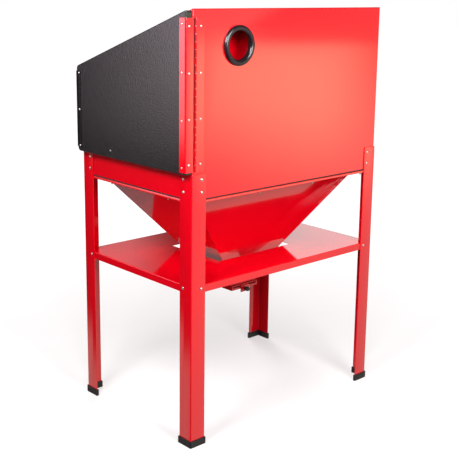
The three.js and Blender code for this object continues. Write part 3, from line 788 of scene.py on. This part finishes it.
def slide_gate():
    """A channel under the spout, and the blade that slides out of it towards the back."""
    under = cad("hopper_throat")[0].z - GAP
    channel = carve(
        ring_stack(grown(SPOUT_FLANGE, (0, under - 14, 3), (0, under, 3)), closed=False),
        brick((-60, 60), (-72, 90), (under - 6, under + 1)),
        brick((-46, 46), (-60, 60), (under - 20, under + 1)),
    )
    piece("gate_channel", channel, "red_paint", ["gate_guide"], bevel=0.6)
    top, front, rear = under - GAP, -71.5, cad("gate_plate")[1].y
    slide = prism(strip([(front, top), (rear, top), (rear, top - 26)], -3, 4.5), "x", -22, 22)
    wings = [brick(x, (front, rear - 12), (top - 3, top)) for x in ((-59.5, -22), (22, 59.5))]
    piece("gate_blade", merge(slide, *wings), "red_paint", ["gate_plate"], "slide_gate", bevel=0.4)
    knob = [
        (5, GAP), (6.5, GAP), (6.8, 3), (6.2, 5), (7.5, 8), (9, 12), (9, 15), (8.2, 17), (6, 17.9), (2, 18),
    ]
    grip = spin(knob, (0, rear, top - 14), "y", 32)
    piece("gate_grip", grip, "black_plastic", ["gate_knob"], "slide_gate")
    spots = [(x, y, under - 14) for x in (-53, 53) for y in (-66, 66)]
    piece("gate_screws", heads("z", -1, spots, 3.6, 1.8), "bright_steel")


def pickup():
    """The tube that stands in the abrasive, with a clamp collar and an open slant at its foot."""
    foot, head, tube, hole = -105, 234, 11, 8.5
    rings = [
        (9.6, foot), (tube, foot + 1), (tube, 190), (13.5, 192), (13.5, 206), (tube, 208), (tube, head - 1),
        (10.2, head), (hole, head), (hole, foot),
    ]
    slant = Matrix.Translation((-60, 20, 560)) @ Matrix.Rotation(-0.52, 4, "Y")
    shell = moved(spin(rings, (0, 0, 0), "z", 32, closed=True), slant)
    piece("suction_tube", shell, "bright_steel", ["pickup_tube"])


# ---- Work grate ----
def grate():
    """Upright flat bars in a frame, over three round rods."""
    low, high = cad("work_grate")
    bar, count, rod = 4, 36, 2.1
    shells = []
    for i in range(count + 1):
        x = low.x + (high.x - low.x - bar) * i / count
        shells.append(brick((x, x + bar), (low.y + bar, high.y - bar), (low.z + 4, high.z)))
    for y in (low.y, high.y - bar):
        shells.append(brick((low.x, high.x), (y, y + bar), (low.z, high.z)))
    for i in range(1, 4):
        y = low.y + (high.y - low.y) * i / 4
        shells.append(spin([(rod, low.x + 1), (rod, high.x - 1)], (0, y, low.z + rod), "x", 12))
    piece("floor_grate", merge(*shells), "grate_steel", ["work_grate"], bevel=0.5)


# ---- Legs, feet and shelf ----
def leg_outline(sx, sy, grow, radius):
    """The L of a leg, or of a boot that grows out of it, with its corner at the leg's outer corner."""
    x, y = LEG_X + grow, LEG_Y + grow
    t, flange = LEG_SHEET + 2 * grow, LEG_FLANGE + 2 * grow
    corners = [
        (x, y), (x - flange, y), (x - flange, y - t), (x - t, y - t), (x - t, y - flange), (x, y - flange),
    ]
    radii = [radius, 0.5, 0.5, max(radius - t, 0.6), 0.5, 0.5]
    return [(a * sx, b * sy) for a, b in rounded(corners, radii, 4)]


def leg_and_boot(sx, sy, name):
    floor, wall, tall = 5, 3.5, cad("foot_" + name)[1].z
    upright = prism(leg_outline(sx, sy, 0, BEND + 0.5), "z", floor + GAP, LEG_TOP)
    piece("upright_" + name, upright, "red_paint", ["leg_" + name], bevel=0.45)
    loops = []
    for grow, z, radius in (
        (wall - 1.4, 0, 4), (wall - 0.3, 0.5, 5), (wall, 1.8, 5), (wall, tall - 1.6, 5),
        (wall - 0.5, tall - 0.4, 5), (wall - 1.4, tall, 4), (0.7, tall, 4), (GAP, tall - 0.6, 4),
        (GAP, floor, 4),
    ):
        loops.append([(a, b, z) for a, b in leg_outline(sx, sy, grow, radius)])
    piece("boot_" + name, loft(loops), "rubber", ["foot_" + name])


def shelf():
    """A flat pan with its edges folded down, cut out round the hopper."""
    body, t, top, low = (BODY_X, BODY_Y), SHEET, SHELF_TOP, SHELF_LOW
    pan = ring_stack([
        *grown(body, (-t, low, 1), (0, low, 1.5), (0, top - 2.6, 1.5), (-0.4, top - 1.3, 1.5)),
        *grown(body, (-1.3, top - 0.4, 1.5), (-2.6, top, 1.5)),
        *grown(CUTOUT, (0.4, top, 2.2), (0, top - 0.4, 2), (0, top - t + 0.3, 2), (0.3, top - t, 2)),
        *grown(body, (-t - 1, top - t, 1), (-t, top - t - 1, 1)),
    ])
    piece("shelf_pan", pan, "red_paint", ["shelf"], crease=30)


def leg_screws():
    """Screws through both flanges of each leg, and their nuts on the inside below the chamber."""
    screws, nuts = [], []
    for sx, sy, z in ((sx, sy, z) for sx in (-1, 1) for sy in (-1, 1) for z in LEG_SCREWS):
        x, y = sx * (LEG_X - SCREW_IN), sy * (LEG_Y - SCREW_IN)
        screws.append(heads("y", sy, [(x, sy * LEG_Y, z)]))
        screws.append(heads("x", sx, [(sx * LEG_X, y, z)]))
        if z < SHELF_TOP:
            nuts.append(nut("y", -sy, (x, sy * (BODY_Y - SHEET), z)))
            nuts.append(nut("x", -sx, (sx * (BODY_X - SHEET), y, z)))
    piece("leg_screw_heads", merge(*screws), "bright_steel")
    piece("leg_screw_nuts", merge(*nuts), "bright_steel")


def rim_bolts():
    """Bolts that hang through the hopper's rim along the front, the back and the sides."""
    under, inset = RIM_TOP - SHEET, 19
    spots = [(x, s * (BODY_Y - inset)) for x in (-402, -134, 134, 402) for s in (-1, 1)]
    spots += [(s * (BODY_X - inset), y) for y in (-160, 0, 160) for s in (-1, 1)]
    shells = []
    for x, y in spots:
        shells.append(washer("z", -1, (x, y, under), 6, 2.5))
        shells.append(nut("z", -1, (x, y, under - 1), 4.4, 4.5, 2.5, 13))
    piece("rim_bolts", merge(*shells), "bright_steel")


# ---- Loading door ----
def door_loop(margin, x):
    """The door's outline pulled in by a margin: the front corners are round, the back ones tighter."""
    drop = DOOR_DROP + margin / cos(LID_ANGLE)
    corners = under_lid(DOOR_FRONT + margin, DOOR_BACK - margin, DOOR_BOTTOM + margin, drop)
    big, small = max(13 - margin, 1), max(4 - margin, 0.8)
    return [(x, y, z) for y, z in rounded(corners, [big, small, small, big], 6)]


def door():
    """A tray folded from one sheet, open towards the cabinet, with a sponge seal behind its lip."""
    fillet, lip, t = 3.2, 24, SHEET
    profile = []
    for i in range(6):
        turn = pi / 2 * i / 5
        profile.append((fillet * (1 - sin(turn)), DOOR_OUT - fillet * (1 - cos(turn))))
    profile += [
        (0, DOOR_IN + 2.5), (0.7, DOOR_IN + 0.8), (2.4, DOOR_IN), (lip - 0.6, DOOR_IN),
        (lip, DOOR_IN + 0.5), (lip, DOOR_IN + t - 0.4), (lip - 0.6, DOOR_IN + t), (t + 1, DOOR_IN + t),
        (t, DOOR_IN + t + 1), (t, DOOR_OUT - t - 1), (t + 1, DOOR_OUT - t),
    ]
    shell = loft([door_loop(*station) for station in profile])
    piece("door_shell", shell, "black_texture", ["door_tray"], "door", crease=30)

    low = BODY_X + GAP
    bulb = [
        (3.5, DOOR_IN - GAP), (3, DOOR_IN - 1), (3, low + 0.6), (3.6, low), (20.4, low), (21, low + 0.6),
        (21, DOOR_IN - 1), (20.5, DOOR_IN - GAP),
    ]
    seal = loft([door_loop(*station) for station in bulb], closed=True)
    piece("door_gasket", seal, "rubber", ["door_seal"], "door")
    screw = heads("x", 1, [(DOOR_OUT, DOOR_FRONT + 200, DOOR_BOTTOM + 26)], 2.8, 1.5)
    piece("door_face_screw", screw, "bright_steel", body="door")


# ---- Piano hinge ----
KNUCKLES = 20
PITCH = (HINGE_HIGH - HINGE_LOW) / KNUCKLES


def knuckles(first):
    """Every other barrel of the hinge, bored for its pin."""
    hole, radius = 2.2, 3.4
    shells = []
    for i in range(first, KNUCKLES, 2):
        low, high = HINGE_LOW + i * PITCH + 0.5, HINGE_LOW + (i + 1) * PITCH - 0.5
        rings = [(hole, low), (radius - 0.3, low), (radius, low + 0.3)]
        rings += [(radius, high - 0.3), (radius - 0.3, high), (hole, high)]
        shells.append(spin(rings, (HINGE_X, HINGE_Y, 0), "z", 32, closed=True))
    return shells


def leaf_cuts(first, reach):
    """Notches where the other leaf's knuckles turn."""
    return [
        brick((HINGE_X - reach, HINGE_X + reach), (HINGE_FACE - 1, HINGE_FACE + 14),
              (HINGE_LOW + i * PITCH - GAP, HINGE_LOW + (i + 1) * PITCH + GAP))
        for i in range(first, KNUCKLES, 2)
    ]


def hinge():
    """A piano hinge: one leaf on the back panel, one folded round the door's back edge."""
    face, outer = HINGE_FACE, HINGE_FACE + SHEET
    plate = brick((HINGE_X - 38, HINGE_X - 1), (face, outer), (HINGE_LOW, HINGE_HIGH))
    fixed = merge(carve(plate, *leaf_cuts(0, 4.2)), *knuckles(1))
    piece("hinge_leaf_fixed", fixed, "red_paint", ["hinge_cabinet_leaf"], bevel=0.3)
    side = DOOR_OUT + GAP + SHEET
    path = [(HINGE_X + 4.4, outer), (side, outer), (side, face - 28)]
    leaf = prism(strip(path, -SHEET, 4.5), "z", HINGE_LOW, HINGE_HIGH)
    folded = merge(carve(leaf, *leaf_cuts(1, 6.4)), *knuckles(0))
    piece("hinge_leaf_door", folded, "red_paint", ["hinge_door_leaf"], "door", bevel=0.3)
    # Painted shade: a thin black strip laid under the barrels, standing in for the shadowed gaps beside the
    # knuckles.
    shade_strip = brick((HINGE_X - 3, HINGE_X + 7.5), (face + 0.05, face + 0.4), (HINGE_LOW + 1, HINGE_HIGH - 1))
    piece("hinge_shade_strip", shade_strip, "black_plastic")
    pin = [(1.5, HINGE_LOW), (2.0, HINGE_LOW + 0.6), (2.0, HINGE_HIGH - 0.6), (1.5, HINGE_HIGH)]
    rod = spin(pin, (HINGE_X, HINGE_Y, 0), "z", 24)
    piece("hinge_rod", rod, "bright_steel", ["hinge_pin"])

    def rivets(axis, spots):
        return heads(axis, 1, spots, 3.8, 1.9, recess=False)

    fixed_rivets = rivets("y", [(HINGE_X - 24, outer, z) for z in HINGE_RIVETS])
    piece("hinge_rivets_fixed", fixed_rivets, "bright_steel")
    door_rivets = merge(
        rivets("y", [(HINGE_X + 23.5, outer, z) for z in HINGE_RIVETS]),
        rivets("x", [(side, face - 16, 967 + 150 * i) for i in range(4)]),
    )
    piece("hinge_rivets_door", door_rivets, "bright_steel", body="door")


# ---- Latches ----
def latch_edge():
    """The black angle on the door's front edge, with the studs that the latch bars close over."""
    side, face = DOOR_OUT + GAP + SHEET, DOOR_FRONT - GAP
    low, high = (end.z for end in cad("latch_angle"))
    path = [(DOOR_IN + 1, face - SHEET), (side, face - SHEET), (side, face + 23)]
    angle = prism(strip(path, SHEET, 3), "z", low, high)
    root, tip = face - 1, -BODY_Y - 9
    profile = [(3, root), (3, tip + 0.7), (2.8, tip + 0.2), (2.3, tip)]
    studs = [spin(profile, (STUD_X, 0, z), "y", 32) for z in LATCH_Z.values()]
    piece("latch_strip", merge(angle, *studs), "black_texture", ["latch_angle"], "door", bevel=0.3)
    spots = [(side, DOOR_FRONT + 17, low + 5 + 130 * i) for i in range(3)]
    piece("latch_strip_screws", heads("x", 1, spots, 4.4, 2.2), "bright_steel", body="door")


def swing_latch(name, z):
    """A plate on the front panel, whose post holds a bar that swings over a stud of the door."""
    face = -BODY_Y - GAP
    plate = prism(rectangle(16, 26, 5, 5, (LATCH_X, z)), "y", face, face - 2)
    post = [(4, -1), (4, -7.7), (7.4, -7.7), (8, -8.3), (8, -9.8), (7.2, -10.5), (3, -10.5)]
    stud = spin(post, (LATCH_X, face, z), "y", 32)
    screws = heads("y", -1, [(LATCH_X, face - 2, z + s * 19) for s in (-1, 1)], 3.4, 1.7)
    base = merge(plate, stud, screws)
    piece("latch_base_" + name, base, "bright_steel", ["latch_plate_" + name], bevel=0.3)

    reach, slot = STUD_X - LATCH_X, 4.3
    bar = rectangle(9, (reach + 23) / 2, 8, 6, (LATCH_X, z + (reach + 1) / 2))
    blade = prism(bar, "y", face - 5.5, face - 2 - GAP)
    left, right, low, high = LATCH_X - slot, LATCH_X + 20, z + reach - slot, z + reach + slot
    mouth = [(left, low), (right, low), (right, high), (left, high)]
    catch = rounded(mouth, [slot - 0.1, 0, 0, slot - 0.1])
    blade = carve(
        blade, bore(slot, (LATCH_X, face, z), "y", 32), prism(catch, "y", face - CUT, face + CUT))
    grip = [(5, 0), (5, -6), (6.2, -8), (7, -11), (7, -14), (6, -15.6), (3, -16)]
    handle = spin(grip, (LATCH_X - 1, face - 5, z + reach / 2 + 2), "y", 32)
    piece("latch_arm_" + name, blade, "bright_steel", ["latch_bar_" + name], "latch_bar_" + name, bevel=0.4)
    piece("latch_grip_" + name, handle, "black_plastic", body="latch_bar_" + name)


# ---- Switch, gland and air inlet ----
def switch():
    """The work light's box and its rocker, which stands in a well in the box."""
    face = -BODY_Y - GAP
    low, high = cad("switch_box")
    x, _, z = (low + high) / 2
    half_x, _, half_z = (high - low) / 2
    case = loft([
        [(a, y, b) for a, b in rectangle(half_x - cut, half_z - cut, radius, 5, (x, z))]
        for cut, y, radius in ((0, face, 4), (0, low.y + 2.5, 4), (0.8, low.y + 0.7, 4), (2.5, low.y, 3))
    ])
    well = brick((x - 17, x + 17), (low.y - 6, face - 20), (z - 10, z + 10))
    piece("switch_case", carve(case, well), "black_plastic", ["switch_box"], crease=30)
    root, waist = face - 22, face - 32
    rocker = rounded(
        [(root, z - 7.5), (waist - 6.5, z - 7.5), (waist, z), (waist - 2.5, z + 7.5), (root, z + 7.5)],
        [0.3, 1.2, 4, 1.2, 0.3])
    key = prism(rocker, "x", x - 15.5, x + 15.5)
    piece("switch_key", key, "black_plastic", ["switch_rocker"], "light_switch", bevel=0.4)
    gland = [
        (4.5, -13), (6.4, -13.4), (6.8, -12, "hex"), (6.8, -7, "hex"), (7.6, -6), (8, -5.4), (8, -0.6),
        (7.5, 0),
    ]
    shell = spin(gland, (x, face - 17, low.z - GAP), "z", 36)
    piece("cable_gland", shell, "black_plastic", ["cord_gland"])


def air_fitting():
    """A hose barb outside the panel, its hexagon flange, and a threaded stub inside."""
    tube, flange, stub, flats = 4, 12.2, 10.5, 12.04
    rings = [
        (tube, -34), (6, -34), (7, -31), (5.6, -29), (7, -26), (5.6, -24), (7, -21), (5.6, -19), (6.4, -12),
        (6.4, -8), (flange, -8), (flats, -7.2, "hex"), (flats, -1.2, "hex"), (flange, -GAP), (stub, -GAP),
        (stub, 12), (7, 12), (7, 25), (6, 26), (tube, 26),
    ]
    shell = spin(rings, INLET, "x", 36, closed=True)
    piece("air_fitting", shell, "bright_steel", ["air_inlet"])


# ---- Blast gun ----
def gun():
    """A cast gun with a ceramic nozzle and a lever under its barrel, resting in a cradle."""
    x, y, z = -405, 60, 1010
    barrel = [
        (9, -60), (15, -60), (17, -57), (17, -40), (16, -38), (16, -34), (17, -32), (17, 46), (15, 52),
        (9.5, 62), (8.6, 64), (8, 66), (9, 70), (7.6, 73), (8.8, 78), (7.2, 81), (8, 88), (6, 92), (3, 92),
    ]
    body = spin(barrel, (x, y, z), "y", 32)
    grip = loft([
        [(x + a, y + back + b, z - down) for a, b in rectangle(11.5, deep, 8)]
        for back, down, deep in ((38, 6, 17), (42, 30, 15), (47, 60, 16), (51, 84, 15), (52, 96, 13))
    ])
    air = spin([(9, 26, "hex"), (9, 20, "hex"), (7, 20), (7, 0)], (x, y + 52, z - 120), "z", 36)
    piece("gun_casting", merge(body, grip, air), "aluminium", ["gun_body"], crease=30)
    tip = [(11, -GAP), (12, -2), (11.6, -6), (9.4, -38), (9, -43), (8, -44), (4, -44), (4, -20), (4, -GAP)]
    nozzle = spin(tip, (x, y - 60, z), "y", 32, closed=True)
    piece("gun_tip", nozzle, "ceramic", ["gun_nozzle"])
    lever = [(11, 18), (6.5, 42), (16, 74), (22, 71), (15, 41), (20, 18)]
    outline = rounded([(y + back, z - down) for back, down in lever], [1, 8, 2, 2, 10, 1])
    blade = prism(outline, "x", x - 4, x + 4)
    piece("gun_lever", blade, "bright_steel", ["gun_trigger"], "trigger", bevel=0.8)

    wall, arm_end = SHEET - BODY_X + GAP, x + 24
    plate = prism(rectangle(20, 40, 5, 5, (y - 30, z - 20)), "x", wall, wall + 3)
    outline = [(wall, z - 36), (arm_end, z - 36), (arm_end, z - 6), (wall, z - 6)]
    arm = prism(rounded(outline, [0, 8, 2, 0]), "y", y - 44, y - 16)
    arm = carve(arm, bore(17 + GAP, (x, y, z), "y", 48, 60))
    screws = heads("x", 1, [(wall + 3, y - 30, z + s) for s in (12, -52)], 3.6, 1.8)
    piece("gun_rest", merge(arm, plate, screws), "bright_steel", ["gun_cradle"], bevel=0.5)


# ---- Studio ----
def studio_floor():
    """A pale floor that glows with painted light, weakest near the cabinet so that its real shadows show
    there, and plain white further off.
    """
    half = 30
    mesh = bpy.data.meshes.new("studio_floor")
    corners = [(-half, -half, 0), (half, -half, 0), (half, half, 0), (-half, half, 0)]
    mesh.from_pydata(corners, [], [(0, 1, 2, 3)])
    floor = new_object("studio_floor", mesh)
    f = Finish("studio_floor_paint", Roughness=0.8, Specular_IOR_Level=0.0)
    f.colour(f.noise(3, 3), (0.42, 0.41, 0.41), (0.44, 0.43, 0.43))
    distance = f.maths("LENGTH", f.place, kind="ShaderNodeVectorMath")
    # Painted light: the floor's emission rises from 0.53 near the cabinet to 1.0 at 3.2 m, standing in for
    # a brightly lit floor.
    painted_glow = f.ramp(distance, 0.5, 3.2, 0.53, 1.0)
    f.fill(f.shader, Emission_Strength=painted_glow, Emission_Color=(1, 0.98, 0.975, 1))
    mesh.materials.append(f.material)
    floor.visible_glossy = False
    floor.visible_diffuse = False


# What stands round the cabinet, as its gloss sees it. Each card has a heading, an elevation, a half
# width, a half height, a side blur and an edge blur, all in degrees, then its colour. Later cards are
# in front of earlier ones.
CARDS = [
    (136, -48, 60, 43, 5, 5, (0.66, 0.60, 0.54)),  # the floor on the right
    (135, -5, 12, 5, 10, 4, (2.75, 2.3, 1.45)),  # its brightest part
    (112, 6.8, 30, 10, 3, 1.0, (0.9, 0.8, 0.62)),  # the wall behind it, in two parts
    (162, 6.8, 28.5, 10, 2.5, 0.4, (0.42, 0.33, 0.27)),
    (-52, -8, 50, 13, 2, 2, (0.015, 0.015, 0.015)),  # a black flag on the left
    (-34, 4.4, 19.3, 13.6, 2.5, 1.5, (1.5, 1.32, 1.25)),  # a bright wall above it
    (-33, 9, 18.3, 14, 2, 4, (2.9, 2.5, 2.8)),  # brighter higher up
    (-46, -41, 7.5, 18.7, 1, 1.2, (0.66, 0.56, 0.5)),  # the floor under it, in two parts
    (-61.5, -41, 8, 20.6, 1, 1.2, (0.6, 0.5, 0.45)),
    (256, -40, 14, 20, 5, 5, (0.2, 0.2, 0.2)),  # the dark floor in front
    (219, 16, 6.5, 14, 2, 2, (1.0, 1.0, 1.0)),  # a white wall behind
    (236, 16, 3.5, 12, 2, 2, (0.3, 0.3, 0.3)),
]


def studio_world():
    """White where the camera looks. Elsewhere a dim room with cards in it."""
    world = bpy.data.worlds.new("studio")
    scene.world = world
    world.use_nodes = True
    w = Nodes(world.node_tree)
    w.tree.nodes.clear()
    direction = w.node("ShaderNodeTexCoord").outputs["Generated"]

    def along(x, y, z=0.0):
        return w.maths("DOT_PRODUCT", direction, (x, y, z), kind="ShaderNodeVectorMath")

    elevation = w.maths("ARCSINE", along(0.0, 0.0, 1.0))
    upward = w.ramp(elevation, -0.1, 0.25, kind="SMOOTHSTEP")
    light = w.mix(upward, (0.03, 0.03, 0.032), (0.05, 0.045, 0.045))
    for *angles, colour in CARDS:
        turn, rise, wide, tall, side, edge = (radians(a) for a in angles)
        ahead = along(cos(turn), sin(turn))
        across = w.maths("ARCTAN2", along(-sin(turn), cos(turn)), ahead)
        above = w.maths("SUBTRACT", elevation, rise)
        inside = [
            w.ramp(w.maths("ABSOLUTE", away), half + blur, half - blur, kind="SMOOTHSTEP")
            for away, half, blur in ((across, wide, side), (above, tall, edge))
        ]
        light = w.mix(w.maths("MULTIPLY", *inside), light, colour)
    given = w.node("ShaderNodeBackground", Color=light).outputs[0]
    seen = w.node("ShaderNodeBackground", Color=(1, 1, 1, 1)).outputs[0]
    pick = w.node("ShaderNodeMixShader")
    camera_ray = w.node("ShaderNodeLightPath").outputs["Is Camera Ray"]
    for socket, value in zip(pick.inputs, (camera_ray, given, seen)):
        w.feed(socket, value)
    w.node("ShaderNodeOutputWorld", Surface=pick.outputs[0])


def softbox(name, at, towards, energy, wide, tall):
    data = bpy.data.lights.new(name, "AREA")
    data.energy = energy
    data.shape = "RECTANGLE"
    data.size, data.size_y = wide, tall
    made = new_object(name, data)
    made.location = at
    made.rotation_euler = (Vector(towards) - Vector(at)).to_track_quat("-Z", "Y").to_euler()


def lights():
    """Softboxes left, right and above the camera, and a high one over the operator's side."""
    softbox("left_softbox", (1.75, 0.55, 2.1), (0.3, 0, 1.0), 41, 0.6, 0.7)
    softbox("right_softbox", (0.37, 2.5, 2.15), (0, 0.2, 1.3), 86, 1.0, 1.7)
    softbox("top_softbox", (1.5, 1.6, 2.3), (0, 0, 1.0), 30, 0.5, 1.1)
    softbox("front_softbox", (-1.2, -2.2, 3.0), (0, 0, 0.9), 55, 1.0, 1.0)


def camera():
    """A short telephoto at a standing eye's height, off the back corner by the hinge."""
    heading, pitch, roll = 3.9704, 0.2130, 0.0128
    data = bpy.data.cameras.new("camera")
    data.sensor_width = 36
    data.lens = 73.27
    data.shift_y = -0.0873
    data.clip_end = 100
    made = new_object("camera", data)
    made.matrix_world = (
        Matrix.Translation((Vector((2327.8, 2522.8, 1527.3)) + CENTRE) * MM)
        @ Matrix.Rotation(heading - pi / 2, 4, "Z")
        @ Matrix.Rotation(pi / 2 - pitch, 4, "X")
        @ Matrix.Rotation(roll, 4, "Z")
    )
    scene.camera = made


# ---- Assembly ----
camera()
chamber()
rim_shadow_strip()
lid()
work_light()
grommet()
baffle()
for side, name in ((-1, "left"), (1, "right")):
    arm_ring(side, name)
    glove(side, name)
    glove_clamp(side, name)
hopper()
slide_gate()
pickup()
grate()
shelf()
for sy, front in ((-1, "front"), (1, "back")):
    for sx, hand in ((-1, "left"), (1, "right")):
        leg_and_boot(sx, sy, front + "_" + hand)
leg_screws()
rim_bolts()
door()
hinge()
latch_edge()
for name, z in LATCH_Z.items():
    swing_latch(name, z)
switch()
air_fitting()
gun()
studio_floor()
studio_world()
lights()
scene.view_settings.view_transform = "Standard"
